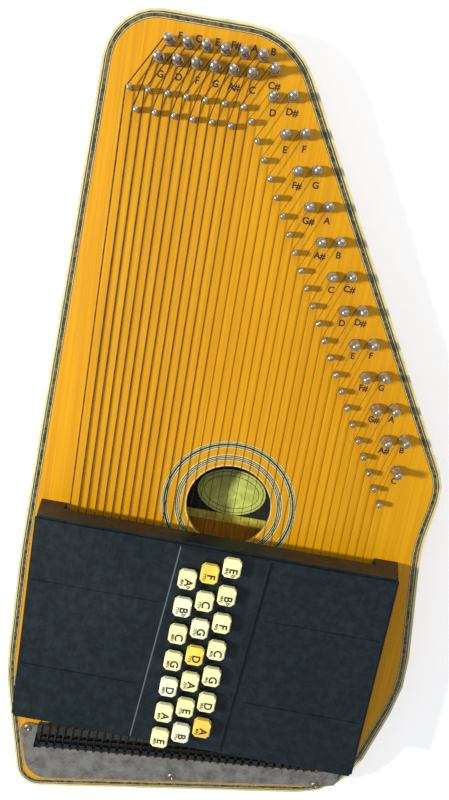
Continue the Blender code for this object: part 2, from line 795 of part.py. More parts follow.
def button_shape():
    """A cap with cut corners, a facet that falls towards the pins, and a stem below."""
    half_width, half_length = BUTTON_WIDTH / 2, BUTTON_LENGTH / 2
    cut = BUTTON_CORNER
    corners = [
        (half_width, cut - half_length), (half_width, half_length - cut),
        (half_width - cut, half_length), (cut - half_width, half_length),
        (-half_width, half_length - cut), (-half_width, cut - half_length),
        (cut - half_width, -half_length), (half_width - cut, -half_length),
    ]
    shape = bmesh.new()
    add_prism(shape, corners, 0, BUTTON_THICKNESS)
    slope = Vector((0, BUTTON_FACET_DROP, BUTTON_FACET_LENGTH)).normalized()
    crest = Vector((0, half_length - BUTTON_FACET_LENGTH, BUTTON_THICKNESS))
    cut_off(shape, crest, slope)
    top = max(shape.faces, key=lambda face: face.calc_center_median().z)
    bmesh.ops.bevel(
        shape, geom=list(top.edges), offset=BUTTON_EDGE, segments=1, affect="EDGES"
    )
    bottom = min(shape.faces, key=lambda face: face.calc_center_median().z)
    bmesh.ops.inset_region(shape, faces=[bottom], thickness=BUTTON_STEM_INSET)
    # The inset leaves the stem's face in the middle
    grown = bmesh.ops.extrude_face_region(shape, geom=[bottom])
    low = [item for item in grown["geom"] if isinstance(item, bmesh.types.BMVert)]
    bmesh.ops.delete(shape, geom=[bottom], context="FACES_ONLY")
    stem = BUTTON_BOTTOM - BOARD_TOP - BAR_TOP - SEAT_GAP
    bmesh.ops.translate(shape, verts=low, vec=(0, 0, -stem))
    return shape


def cut_off(shape, point, normal):
    """Slices away what lies past a plane and closes the cut."""
    geometry = list(shape.verts) + list(shape.edges) + list(shape.faces)
    bmesh.ops.bisect_plane(
        shape, geom=geometry, plane_co=point, plane_no=normal, clear_outer=True
    )
    open_edges = [edge for edge in shape.edges if edge.is_boundary]
    bmesh.ops.contextual_create(shape, geom=open_edges)


def make_button(index, chord, mesh_source, finish):
    button = make_object(f"button_{chord[0]}", mesh_source(), finish)
    button.location = (button_x(index), bar_y(index), BUTTON_BOTTOM)
    return button


# The base and the cover

def add_leaning_box(shape, left, right, front, rear, bottom, top, lean):
    """A box whose four sides lean inwards by the same amount on the way up."""
    corners = add_box(shape, left, right, front, rear, bottom, top)
    for corner in corners:
        if corner.co.z > (bottom + top) / 2:
            corner.co.x += lean if corner.co.x < (left + right) / 2 else -lean
    return corners


def bar_slot(index, shape):
    """A long box round one bar's travel, which cuts both holders."""
    half = BAR_THICKNESS / 2 + BAR_SLOT_CLEARANCE
    left = BAR_LEFT - BAR_SLOT_CLEARANCE
    right = BAR_RIGHT + BAR_SLOT_CLEARANCE
    low = BAR_BOTTOM - BAR_TRAVEL - BAR_SLOT_CLEARANCE
    y = bar_y(index)
    high = BASE_HEIGHT + BAR_SLOT_CLEARANCE
    add_box(shape, left, right, y + half, y - half, BOARD_TOP + low, BOARD_TOP + high)


def make_base(finish):
    """A frame with a slotted holder at each end, and rails that clear the strings."""
    shape = bmesh.new()
    bottom = BOARD_TOP + SEAT_GAP
    top = BOARD_TOP + BASE_HEIGHT
    add_leaning_box(
        shape, BASE_FOOT_LEFT, BASE_FOOT_RIGHT, BASE_FRONT_Y, BASE_REAR_Y, bottom, top, BASE_LEAN
    )
    base = make_object("chord_bar_base", shape, finish)
    window = bmesh.new()
    add_box(
        window, BASE_WINDOW_LEFT, BASE_WINDOW_RIGHT,
        BASE_FRONT_Y - BASE_RAIL, BASE_REAR_Y + BASE_RAIL,
        BOARD_TOP - BASE_HEIGHT, BOARD_TOP + 2 * BASE_HEIGHT,
    )
    combine(base, make_guide("base_window", window), "DIFFERENCE")
    tunnel = bmesh.new()
    add_box(
        tunnel, BASE_WINDOW_LEFT, BASE_WINDOW_RIGHT,
        BASE_FRONT_Y + BASE_RAIL, BASE_REAR_Y - BASE_RAIL,
        BOARD_TOP - BASE_RAIL_BOTTOM, BOARD_TOP + BASE_RAIL_BOTTOM,
    )
    combine(base, make_guide("string_tunnel", tunnel), "DIFFERENCE")
    slots = bmesh.new()
    for index in range(BAR_COUNT):
        bar_slot(index, slots)
    combine(base, make_guide("bar_slots", slots), "DIFFERENCE")


def plateau(inset, y_margin=0.0):
    """The slanting raised strip that the buttons stand in, as a plan outline."""
    front = BASE_FRONT_Y + y_margin - inset
    rear = BASE_REAR_Y - y_margin + inset
    length = BASE_REAR_Y - BASE_FRONT_Y

    def along(start, stop, y):
        return start + (stop - start) * (y - BASE_FRONT_Y) / length

    return [
        (along(PLATEAU_LEFT_FRONT, PLATEAU_LEFT_REAR, rear) + inset, rear),
        (along(PLATEAU_RIGHT_FRONT, PLATEAU_RIGHT_REAR, rear) - inset, rear),
        (along(PLATEAU_RIGHT_FRONT, PLATEAU_RIGHT_REAR, front) - inset, front),
        (along(PLATEAU_LEFT_FRONT, PLATEAU_LEFT_REAR, front) + inset, front),
    ]


def make_cover(finish):
    """A shallow lid on the base, with a raised strip, button holes and four grooves."""
    lean = BASE_LEAN - COVER_OVERHANG
    left, right = BASE_FOOT_LEFT + lean, BASE_FOOT_RIGHT - lean
    front, rear = BASE_FRONT_Y + COVER_OVERHANG, BASE_REAR_Y - COVER_OVERHANG
    shape = bmesh.new()
    corners = add_box(shape, left, right, front, rear, COVER_SKIRT_BOTTOM, COVER_TOP_Z)
    upper = [corner for corner in corners if corner.co.z > COVER_SKIRT_BOTTOM]
    edges = {edge for corner in upper for edge in corner.link_edges}
    bmesh.ops.bevel(shape, geom=list(edges), offset=COVER_EDGE, segments=2, affect="EDGES")
    cover = make_object("chord_bar_cover", shape, finish)

    ridge = bmesh.new()
    low = prism_loft(
        ridge, plateau(COVER_EDGE), plateau(COVER_EDGE + PLATEAU_SLOPE),
        COVER_TOP_Z - COVER_WALL / 2, PLATEAU_TOP_Z,
    )
    combine(cover, make_guide("cover_ridge", low), "UNION")

    hollow = bmesh.new()
    add_box(
        hollow, left + COVER_WALL, right - COVER_WALL, front - COVER_WALL, rear + COVER_WALL,
        COVER_SKIRT_BOTTOM - COVER_WALL, COVER_TOP_Z - COVER_WALL,
    )
    combine(cover, make_guide("cover_hollow", hollow), "DIFFERENCE")

    holes = bmesh.new()
    half_x = BUTTON_WIDTH / 2 - BUTTON_STEM_INSET + STEM_CLEARANCE
    half_y = BUTTON_LENGTH / 2 - BUTTON_STEM_INSET + STEM_CLEARANCE
    for index in range(BAR_COUNT):
        x, y = button_x(index), bar_y(index)
        add_box(
            holes, x - half_x, x + half_x, y + half_y, y - half_y,
            COVER_SKIRT_BOTTOM, PLATEAU_TOP_Z + BUTTON_THICKNESS,
        )
    combine(cover, make_guide("button_holes", holes), "DIFFERENCE")

    grooves = bmesh.new()
    margin = COVER_EDGE + GROOVE_WIDTH
    for y in (FRONT_GROOVE_Y, REAR_GROOVE_Y):
        share = (y - BASE_FRONT_Y) / (BASE_REAR_Y - BASE_FRONT_Y)
        bass = PLATEAU_LEFT_FRONT + (PLATEAU_LEFT_REAR - PLATEAU_LEFT_FRONT) * share
        treble = PLATEAU_RIGHT_FRONT + (PLATEAU_RIGHT_REAR - PLATEAU_RIGHT_FRONT) * share
        for start, stop in ((left + margin, bass - margin), (treble + margin, right - margin)):
            add_box(
                grooves, start, stop, y + GROOVE_WIDTH / 2, y - GROOVE_WIDTH / 2,
                COVER_TOP_Z - GROOVE_DEPTH, PLATEAU_TOP_Z,
            )
    combine(cover, make_guide("cover_grooves", grooves), "DIFFERENCE")


def prism_loft(shape, low_points, high_points, bottom, top):
    """A closed body from one plan outline to another with as many corners."""
    low = [shape.verts.new((x, y, bottom)) for x, y in low_points]
    high = [shape.verts.new((x, y, top)) for x, y in high_points]
    count = len(low)
    for side in range(count):
        after = (side + 1) % count
        shape.faces.new((low[side], low[after], high[after], high[side]))
    shape.faces.new(low[::-1])
    shape.faces.new(high)
    return shape


def main():
    clear_scene()
    make_frame()
    top_wood = finish_of("amber_spruce", (0.62, 0.30, 0.06), 0.28)
    side_wood = finish_of("amber_maple", (0.45, 0.20, 0.05), 0.32)
    block_wood = finish_of("maple_blocks", (0.50, 0.33, 0.17), 0.55)
    inner_wood = finish_of("bare_spruce", (0.60, 0.45, 0.27), 0.7)
    cream = finish_of("cream_binding", (0.72, 0.70, 0.40), 0.35)
    rubber = finish_of("foot_rubber", (0.02, 0.02, 0.02), 0.8)
    steel = finish_of("string_steel", (0.55, 0.54, 0.50), 0.3, 1.0)
    aluminium = finish_of("satin_plate", (0.40, 0.39, 0.36), 0.45, 1.0)
    black = finish_of("black_plastic", (0.015, 0.02, 0.025), 0.4)
    brown = finish_of("brown_plastic", (0.05, 0.03, 0.015), 0.45)
    felt = finish_of("tail_felt", (0.05, 0.12, 0.08), 0.95)
    bar_wood = finish_of("bar_wood", (0.35, 0.26, 0.15), 0.6)
    ivory = finish_of("ivory_plastic", (0.80, 0.77, 0.55), 0.35)

    make_back(side_wood)
    make_feet(rubber)
    make_rim(side_wood, block_wood)
    make_braces(inner_wood)
    make_soundboard(top_wood)
    make_binding(cream)
    make_bridge(black)
    make_strings(steel)
    make_tail_felt(felt)
    make_plate(aluminium)
    make_base(brown)
    make_cover(black)
    for index, chord in enumerate(CHORDS):
        make_bar(index, chord, bar_wood)
        make_button(index, chord, button_shape, ivory)


main()
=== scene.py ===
"""Looks for the chorded zither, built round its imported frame."""

import math

import bmesh
import bpy
from mathutils import Matrix, Vector


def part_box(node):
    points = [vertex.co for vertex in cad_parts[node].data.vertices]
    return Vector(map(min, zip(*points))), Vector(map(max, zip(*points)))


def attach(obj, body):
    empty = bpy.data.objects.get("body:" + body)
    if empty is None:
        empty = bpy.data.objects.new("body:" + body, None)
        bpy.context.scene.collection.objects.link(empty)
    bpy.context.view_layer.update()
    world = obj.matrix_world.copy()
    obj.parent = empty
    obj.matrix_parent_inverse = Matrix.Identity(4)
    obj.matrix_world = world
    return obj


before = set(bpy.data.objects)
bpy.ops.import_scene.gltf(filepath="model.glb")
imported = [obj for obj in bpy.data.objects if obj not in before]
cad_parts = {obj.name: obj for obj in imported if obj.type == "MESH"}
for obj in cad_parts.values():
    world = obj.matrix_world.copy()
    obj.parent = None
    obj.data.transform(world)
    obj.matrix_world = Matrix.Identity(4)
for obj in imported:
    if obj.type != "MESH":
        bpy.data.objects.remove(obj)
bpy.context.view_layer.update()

# The photograph's height and focal length in pixels, and its camera in the part's own frame
PHOTO_HEIGHT = 800
FOCAL_PIXELS = 775.77
SENSOR = 36.0
CAMERA_PLACE = Vector((-0.01778, 0.18758, 0.58252))
CAMERA_FORWARD = Vector((-0.00597, -0.24149, -0.97039))
CAMERA_UP = Vector((-0.17581, 0.95554, -0.23671))

# Heights taken from the frame, and the thickness of print and inlay
BOARD_THICKNESS = 0.0030
BOARD_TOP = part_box("soundboard")[0][2] + BOARD_THICKNESS
BASE_LOW, BASE_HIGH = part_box("chord_bar_base")
DAMPER_TOP = BOARD_TOP + 0.0160
SKIN = 0.00006

# The case outline in the photograph's fit: corner x, y and radius, clockwise from the top left
CORNERS = [
    (-0.1368, 0.3025, 0.037), (-0.0136, 0.3025, 0.054), (0.1505, 0.0170, 0.040),
    (0.1450, -0.0350, 0.120), (0.1600, -0.1510, 0.130), (0.1311, -0.2570, 0.058),
    (-0.1332, -0.3046, 0.018), (-0.1545, -0.2000, 0.200), (-0.1543, -0.0900, 0.400),
]
ARC_STEP = math.radians(5)

# The sound hole, and the label on the back under it
HOLE = Vector((-0.0030, -0.0277))
HOLE_SIDES = 96
LABEL = Vector((-0.0015, -0.0278))
LABEL_HALF_X = 0.0270
LABEL_HALF_Y = 0.0187
LABEL_SIDES = 72
LABEL_LINE = 0.0004
LABEL_LINE_INSETS = (0.0016, 0.0052)
SHEET_LEFT = -0.042
SHEET_RIGHT = 0.040

# Strings and guide pins in the photograph's fit, from the lowest string
STRING_COUNT = 36
STRING_PITCH = 0.00635
FIRST_STRING_X = -0.1194
THICKEST_WIRE_RADIUS = 0.00060
SEAT_GAP = 0.0003
GUIDE_RADIUS = 0.00195
FIRST_GUIDE_X = FIRST_STRING_X + THICKEST_WIRE_RADIUS + SEAT_GAP + GUIDE_RADIUS
GUIDE_ROWS_Y = (0.2508, 0.2378)
GUIDE_LINE_Y = 0.2425
GUIDE_STEP_Y = -0.01118
LAST_WOUND_X = -0.040
TAIL_SLOPE = 0.104
TAIL_DARK_Y = -0.2382

# Tuning pins: two rows, a lone pin and a slanting line of pairs
UPPER_ROW = Vector((-0.0949, 0.2830))
LOWER_ROW = Vector((-0.0998, 0.2716))
LONE_PIN = Vector((-0.0246, 0.2764))
PAIRS = (Vector((-0.0224, 0.2598)), Vector((-0.0099, 0.2622)))
ROW_STEP = Vector((0.0123, 0))
PAIR_STEP = Vector((0.01222, -0.02147))
PIN_SMOOTH_ANGLE = math.radians(50)

# Notes by their number in the octave; after these the strings rise by a semitone each
NOTE_NAMES = ["C", "C#", "D", "D#", "E", "F", "F#", "G", "G#", "A", "A#", "B"]
LOW_NOTES = [5, 7, 0, 2, 4, 5, 6, 7, 9, 10, 11, 0, 1]
CHORD_KINDS = {"7": "7TH", "m": "MIN"}

# Lettering: heights, how far the strokes are thickened, and places beside the pins
LABEL_SIZE = 0.0062
ROOT_SIZE = 0.0082
KIND_SIZE = 0.0030
FLAT_SIZE = 0.0044
BOLDNESS = 0.028
BELOW_PIN = Vector((0.0012, -0.0092))
RIGHT_OF_PIN = Vector((0.0058, 0.0046))

# Screws of the tail plate and of the chord-bar base
PLATE_SCREWS = ((-0.1307, -0.2470), (-0.0085, -0.2686), (0.1075, -0.2520))
PLATE_SCREW_RADIUS = 0.0032
SCREW_SIDES = 24
SCREW_RINGS = ((1.0, 0.0), (1.0, 0.18), (0.8, 0.34), (0.45, 0.42))
SLOT_EVERY = 6
SLOT_DEPTH = 0.22
RECESS_HEIGHT = 0.12
SIDE_SCREW_SIDES = 20
SIDE_SCREW_RINGS = ((0.0030, -0.0014), (0.0030, 0.0004), (0.0022, 0.0012), (0.0008, 0.0013))
SIDE_SCREW_HEIGHT = 0.0100
SIDE_SCREWS_Y = (-0.071, -0.196)
BASE_WALL_LEAN = 0.0042
SIDE_SCREW_LEAN = BASE_WALL_LEAN * SIDE_SCREW_HEIGHT / (BASE_HIGH[2] - BASE_LOW[2])


class Paint:
    """A Principled material with helpers that add procedural detail to it."""

    def __init__(self, name, roughness=0.5, metallic=0.0, coat=0.0):
        self.material = bpy.data.materials.new(name)
        self.material.use_nodes = True
        self.tree = self.material.node_tree
        self.shader = self.tree.nodes["Principled BSDF"]
        self.shader.inputs["Roughness"].default_value = roughness
        self.shader.inputs["Metallic"].default_value = metallic
        self.shader.inputs["Coat Weight"].default_value = coat
        self.shader.inputs["Coat Roughness"].default_value = 0.12
        self.place = self.add("ShaderNodeTexCoord").outputs["Object"]

    def add(self, kind, **settings):
        made = self.tree.nodes.new(kind)
        for key, value in settings.items():
            setattr(made, key, value)
        return made

    def link(self, output, target):
        self.tree.links.new(output, target)

    def noise(self, scale, stretch=(1, 1, 1), detail=4.0, rough=0.55):
        mapping = self.add("ShaderNodeMapping")
        mapping.inputs["Scale"].default_value = stretch
        self.link(self.place, mapping.inputs["Vector"])
        noise = self.add("ShaderNodeTexNoise")
        noise.inputs["Scale"].default_value = scale
        noise.inputs["Detail"].default_value = detail
        noise.inputs["Roughness"].default_value = rough
        self.link(mapping.outputs["Vector"], noise.inputs["Vector"])
        return noise.outputs["Fac"]

    def waves(self, axis, scale, distortion=0.0):
        wave = self.add("ShaderNodeTexWave", bands_direction=axis)
        wave.inputs["Scale"].default_value = scale
        wave.inputs["Distortion"].default_value = distortion
        self.link(self.place, wave.inputs["Vector"])
        return wave.outputs["Fac"]

    def axis(self, vector, name):
        """One coordinate of a vector."""
        split = self.add("ShaderNodeSeparateXYZ")
        self.link(vector, split.inputs["Vector"])
        return split.outputs[name]

    def reckon(self, operation, *values):
        """A sum on outputs and plain numbers."""
        node = self.add("ShaderNodeMath", operation=operation)
        for socket, value in zip(node.inputs, values):
            if isinstance(value, float):
                socket.default_value = value
            else:
                self.link(value, socket)
        return node.outputs["Value"]

    def ramp(self, value, stops):
        ramp = self.add("ShaderNodeValToRGB")
        while len(ramp.color_ramp.elements) < len(stops):
            ramp.color_ramp.elements.new(0.5)
        for element, (place, colour) in zip(ramp.color_ramp.elements, stops):
            element.position = place
            element.color = (*colour, 1.0)
        self.link(value, ramp.inputs["Fac"])
        return ramp.outputs["Color"]

    def blend(self, share, first, second, mode="MIX"):
        mix = self.add("ShaderNodeMix", data_type="RGBA", blend_type=mode)
        for name, value in (("Factor", share), ("A", first), ("B", second)):
            socket = [item for item in mix.inputs if item.name == name and item.enabled][0]
            if isinstance(value, float):
                socket.default_value = value
            elif isinstance(value, tuple):
                socket.default_value = (*value, 1.0)
            else:
                self.link(value, socket)
        return [item for item in mix.outputs if item.enabled][0]

    def spread(self, value, low, high):
        """Maps a noise's middle range to a range of values."""
        spread = self.add("ShaderNodeMapRange")
        spread.inputs["To Min"].default_value = low
        spread.inputs["To Max"].default_value = high
        spread.inputs["From Min"].default_value = 0.3
        spread.inputs["From Max"].default_value = 0.7
        self.link(value, spread.inputs["Value"])
        return spread.outputs["Result"]

    def colour(self, output):
        self.link(output, self.shader.inputs["Base Color"])

    def roughness(self, value, low, high):
        self.link(self.spread(value, low, high), self.shader.inputs["Roughness"])

    def sheen(self, level):
        self.shader.inputs["Specular IOR Level"].default_value = level

    def bump(self, value, distance, strength=0.5):
        bump = self.add("ShaderNodeBump")
        bump.inputs["Distance"].default_value = distance
        bump.inputs["Strength"].default_value = strength
        self.link(value, bump.inputs["Height"])
        self.link(bump.outputs["Normal"], self.shader.inputs["Normal"])


def wood(name, dark, light, deep, along, roughness=0.35, coat=0.5):
    """Straight-grained wood: fine dark lines along one axis, with broad drifts of tone."""
    paint = Paint(name, roughness, 0.0, coat)
    lines = paint.noise(900, {"x": (0.04, 1, 1), "y": (1, 0.04, 1)}[along], 3.0)
    drift = paint.noise(22, {"x": (0.3, 1, 1), "y": (1, 0.3, 1)}[along], 5.0)
    grain = paint.ramp(lines, [(0.36, dark), (0.62, light)])
    patches = paint.ramp(drift, [(0.35, deep), (0.65, (1.0, 1.0, 1.0))])
    paint.colour(paint.blend(0.55, grain, patches, "MULTIPLY"))
    paint.roughness(drift, roughness - 0.08, roughness + 0.08)
    paint.bump(lines, 0.00008, 0.35)
    return paint.material


def plastic(name, base, worn, roughness, scale=60):
    """Moulded plastic with drifts of dust and fine scuffs."""
    paint = Paint(name, roughness)
    dust = paint.noise(scale, (1, 1, 1), 8.0, 0.65)
    scuffs = paint.noise(700, (1, 0.2, 1), 3.0)
    paint.colour(paint.ramp(dust, [(0.42, base), (0.72, worn)]))
    paint.roughness(scuffs, roughness - 0.07, roughness + 0.1)
    paint.bump(scuffs, 0.00004, 0.4)
    return paint.material


def metal(name, dark, light, roughness, scale=120):
    """Plated or satin metal, a little mottled and scratched."""
    paint = Paint(name, roughness, 0.9)
    stain = paint.noise(scale, (1, 1, 1), 8.0, 0.7)
    scratches = paint.noise(1500, (0.15, 1, 1), 2.0)
    paint.colour(paint.ramp(stain, [(0.35, dark), (0.62, light)]))
    paint.roughness(stain, roughness + 0.12, roughness - 0.05)
    paint.bump(scratches, 0.00003, 0.4)
    return paint.material


def weave(name, dark, light):
    """Woven felt: two crossing sets of threads."""
    paint = Paint(name, 0.95)
    threads = paint.reckon("MULTIPLY", paint.waves("X", 420, 1.2), paint.waves("Y", 420, 1.2))
    paint.colour(paint.ramp(threads, [(0.05, dark), (0.6, light)]))
    paint.bump(threads, 0.0003, 0.8)
    return paint.material


def mottled(name, dark, light, scale):
    """Inlay or ink with small streaks of two colours under lacquer."""
    paint = Paint(name, 0.3, 0.0, 0.5)
    flecks = paint.noise(scale, (1, 1, 1), 5.0, 0.7)
    paint.colour(paint.ramp(flecks, [(0.44, dark), (0.56, light)]))
    paint.bump(flecks, 0.00003, 0.3)
    return paint.material


def paper(name, colour, stained):
    """Printed paper, a little stained."""
    paint = Paint(name, 0.75)
    stain = paint.noise(150, (1, 1, 1), 6.0)
    paint.colour(paint.ramp(stain, [(0.4, stained), (0.6, colour)]))
    paint.bump(paint.noise(900), 0.00003, 0.3)
    return paint.material


def cover_looks():
    """Black plastic with drifts of dust, and a painted highlight on the left slope of its raised strip.
    """
    paint = Paint("cover_plastic_looks", 0.4)
    paint.sheen(0.35)
    dust = paint.noise(140, (1, 1, 1), 8.0, 0.65)
    scuffs = paint.noise(700, (1, 0.2, 1), 3.0)
    drifts = paint.noise(16, (1, 1, 1), 4.0)
    plain = paint.ramp(dust, [(0.42, (0.0008, 0.0055, 0.0085)), (0.72, (0.005, 0.015, 0.020))])
    dusty = paint.ramp(dust, [(0.42, (0.006, 0.012, 0.015)), (0.72, (0.020, 0.030, 0.033))])
    base = paint.blend(paint.spread(drifts, 0.0, 0.6), plain, dusty)
    normal = paint.add("ShaderNodeNewGeometry").outputs["Normal"]
    # Painted highlight: faces turned to the left, towards the key lamp, are coloured pale as if lit, in
    # place of real wear.
    painted_highlight_left_slope = paint.reckon("LESS_THAN", paint.axis(normal, "X"), -0.3)
    paint.colour(paint.blend(painted_highlight_left_slope, base, (0.10, 0.12, 0.12)))
    paint.roughness(scuffs, 0.34, 0.5)
    paint.bump(scuffs, 0.00004, 0.4)
    return paint.material


def board_looks():
    """Amber spruce; the pins are one solid with the board, so what stands above it is steel."""
    paint = Paint("spruce_and_pins", 0.42, 0.0, 0.08)
    paint.sheen(0.25)
    lines = paint.noise(700, (1, 0.012, 1), 2.0)
    drift = paint.noise(14, (1, 0.3, 1), 5.0)
    grain = paint.ramp(lines, [(0.34, (0.585, 0.262, 0.0)), (0.66, (0.68, 0.325, 0.001))])
    patches = paint.ramp(drift, [(0.35, (0.92, 0.82, 0.6)), (0.65, (1.0, 1.0, 1.0))])
    board = paint.blend(0.5, grain, patches, "MULTIPLY")
    above = paint.reckon("GREATER_THAN", paint.axis(paint.place, "Z"), BOARD_TOP + SKIN)
    pins = paint.ramp(paint.noise(500), [(0.4, (0.42, 0.38, 0.31)), (0.6, (0.70, 0.67, 0.60))])
    paint.colour(paint.blend(above, board, pins))
    paint.link(above, paint.shader.inputs["Metallic"])
    paint.bump(lines, 0.00005, 0.25)
    return paint.material


def string_looks():
    """Drawn wire with a wound bass, which is black where it lies in the tail's comb."""
    paint = Paint("wire_looks", 0.38, 0.85)
    tone = paint.ramp(paint.noise(300), [(0.4, (0.030, 0.019, 0.009)), (0.6, (0.085, 0.058, 0.030))])
    across = paint.axis(paint.place, "X")
    level = paint.reckon("MULTIPLY_ADD", across, -TAIL_SLOPE, paint.axis(paint.place, "Y"))
    tail = paint.reckon("LESS_THAN", level, TAIL_DARK_Y)
    paint.colour(paint.blend(tail, tone, (0.022, 0.020, 0.018)))
    bass = paint.reckon("LESS_THAN", across, LAST_WOUND_X)
    paint.bump(paint.reckon("MULTIPLY", paint.waves("Y", 900), bass), 0.0001, 0.8)
    return paint.material


def bar_looks():
    """A wooden bar whose dampers, below it, are grey felt."""
    paint = Paint("bar_and_felt_looks", 0.65)
    lines = paint.noise(900, (0.04, 1, 1), 3.0)
    grain = paint.ramp(lines, [(0.36, (0.28, 0.2, 0.1)), (0.62, (0.42, 0.32, 0.18))])
    fibres = paint.noise(2200, (1, 1, 1), 6.0, 0.8)
    wool = paint.ramp(fibres, [(0.35, (0.10, 0.10, 0.10)), (0.65, (0.30, 0.29, 0.28))])
    below = paint.reckon("LESS_THAN", paint.axis(paint.place, "Z"), DAMPER_TOP)
    paint.colour(paint.blend(below, grain, wool))
    paint.bump(fibres, 0.0001, 0.4)
    return paint.material


maple = wood("amber_maple_looks", (0.30, 0.12, 0.006), (0.50, 0.22, 0.015), (0.7, 0.55, 0.4), "y")
blocks = wood("maple_block_looks", (0.38, 0.24, 0.11), (0.58, 0.40, 0.21), (0.8, 0.7, 0.6), "y", 0.6, 0.0)
bare = wood("bare_spruce_looks", (0.46, 0.32, 0.17), (0.68, 0.52, 0.31), (0.8, 0.7, 0.6), "x", 0.7, 0.0)
cream = plastic("cream_binding_looks", (0.66, 0.62, 0.30), (0.50, 0.42, 0.18), 0.35)
black = plastic("black_plastic_looks", (0.001, 0.006, 0.009), (0.008, 0.021, 0.027), 0.40, 140)
brown = plastic("brown_plastic_looks", (0.006, 0.0055, 0.004), (0.024, 0.021, 0.015), 0.55)
rubber = plastic("foot_rubber_looks", (0.015, 0.015, 0.015), (0.06, 0.06, 0.06), 0.8)
ivory = plastic("ivory_button_looks", (0.88, 0.86, 0.45), (0.74, 0.68, 0.30), 0.38)
yellow = plastic("yellow_button_looks", (0.95, 0.68, 0.10), (0.72, 0.45, 0.05), 0.38)
white = plastic("white_button_looks", (0.86, 0.88, 0.60), (0.74, 0.74, 0.44), 0.38)
plate = metal("satin_plate_looks", (0.20, 0.19, 0.17), (0.42, 0.41, 0.37), 0.42)
screw_steel = metal("string_steel_looks", (0.16, 0.12, 0.08), (0.36, 0.30, 0.22), 0.4)
pin_steel = metal("pin_steel_looks", (0.26, 0.23, 0.18), (0.58, 0.55, 0.48), 0.22, 400)
felt = weave("tail_felt_looks", (0.006, 0.010, 0.008), (0.055, 0.070, 0.058))
green = mottled("green_inlay", (0.006, 0.016, 0.008), (0.03, 0.05, 0.02), 700)
tortoise = mottled("mottled_inlay", (0.012, 0.022, 0.010), (0.16, 0.11, 0.035), 330)
pale = mottled("pale_inlay", (0.50, 0.45, 0.20), (0.68, 0.62, 0.34), 500)
ink = mottled("black_ink", (0.010, 0.008, 0.006), (0.035, 0.028, 0.02), 900)

LOOKS = {
    "back_panel": maple, "bass_rail": maple, "treble_rail": maple, "pin_block": blocks,
    "tail_block": blocks, "upper_brace": bare, "lower_brace": bare, "soundboard": board_looks(),
    "edge_binding": cream, "bridge": black, "strings": string_looks(), "tail_felt": felt,
    "anchor_plate": plate, "chord_bar_base": brown, "chord_bar_cover": cover_looks(),
}
# Some caps have aged differently from the rest
BUTTON_PLASTICS = {
    "button_F7": yellow, "button_D7": yellow, "button_A": yellow,
    "button_Bb7": white, "button_G7": white, "button_Dm": white, "button_B7": white,
}

# Inlaid lines: start, end and colour, from the case's edge inwards and from the hole outwards
EDGE_LINES = [
    (0.0021, 0.0027, green), (0.0027, 0.0031, pale), (0.0031, 0.0056, tortoise),
    (0.0056, 0.0060, pale), (0.0060, 0.0064, green),
]
ROSETTE_LINES = [
    (0.0317, 0.0326, pale),
    (0.0360, 0.0366, pale), (0.0366, 0.0373, green), (0.0373, 0.0379, pale), (0.0379, 0.0386, green),
    (0.0386, 0.0392, pale), (0.0392, 0.0399, green), (0.0399, 0.0407, pale),
    (0.0457, 0.0463, pale), (0.0463, 0.0469, green), (0.0469, 0.0475, pale), (0.0475, 0.0489, green),
    (0.0489, 0.0494, pale), (0.0494, 0.0499, green), (0.0499, 0.0505, pale),
]


def dress_nodes():
    """Gives each node of the frame its material."""
    felted_bar = bar_looks()
    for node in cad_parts:
        if node.startswith("foot_"):
            looks = rubber
        elif node.startswith("button_"):
            looks = BUTTON_PLASTICS.get(node, ivory)
        else:
            looks = LOOKS.get(node, felted_bar)
        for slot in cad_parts[node].material_slots:
            slot.material = looks


def outline(inset):
    """Plan points of the case's outline, moved inwards, with its corners rounded."""
    moved = []
    for index, (x, y, radius) in enumerate(CORNERS):
        here = Vector((x, y))
        before = (here - Vector(CORNERS[index - 1][:2])).normalized()
        after = (Vector(CORNERS[(index + 1) % len(CORNERS)][:2]) - here).normalized()
        inwards = Vector((before.y, -before.x)) + Vector((after.y, -after.x))
        reach = inset / (inwards.length_squared / 2)
        rounder = radius - inset if before.cross(after) < 0 else radius + inset
        moved.append((here + inwards * reach, rounder))
    points = []
    for index, (here, radius) in enumerate(moved):
        before = (here - moved[index - 1][0]).normalized()
        after = (moved[(index + 1) % len(moved)][0] - here).normalized()
        turn = math.atan2(before.cross(after), before.dot(after))
        start = here - before * (radius * math.tan(abs(turn) / 2))
        centre = start + Vector((-before.y, before.x)) * math.copysign(radius, turn)
        steps = max(2, math.ceil(abs(turn) / ARC_STEP))
        for step in range(steps + 1):
            arm = start - centre
            arm.rotate(Matrix.Rotation(turn * step / steps, 2))
            points.append(centre + arm)
    return points


# From the photograph's fit to the part's frame, whose middle is the middle of the case
CASE = outline(0)
SHIFT = Vector((
    -(min(p.x for p in CASE) + max(p.x for p in CASE)) / 2,
    -(min(p.y for p in CASE) + max(p.y for p in CASE)) / 2,
))


def put(name, shape, material, body="zither"):
    """Makes a piece of a bmesh in the part's frame, and lets it ride."""
    mesh = bpy.data.meshes.new(name)
    bmesh.ops.recalc_face_normals(shape, faces=shape.faces)
    shape.to_mesh(mesh)
    shape.free()
    mesh.materials.append(material)
    made = bpy.data.objects.new(name, mesh)
    bpy.context.scene.collection.objects.link(made)
    if body:
        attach(made, body)
    return made


def ring(shape, sides, place):
    """New corners, one for each angle of a full turn."""
    return [shape.verts.new(place(2 * math.pi * side / sides)) for side in range(sides)]


def plan_loop(shape, points, z):
    """New corners over plan points of the photograph's fit."""
    return [shape.verts.new((p.x + SHIFT.x, p.y + SHIFT.y, z)) for p in points]


def join_rings(shape, rings, closed=False):
    """Faces between rings that follow each other, in a circle if closed."""
    following = rings[1:] + rings[:1] if closed else rings[1:]
    for first, second in zip(rings, following):
        for side in range(len(first)):
            after = (side + 1) % len(first)
            shape.faces.new((first[side], first[after], second[after], second[side]))


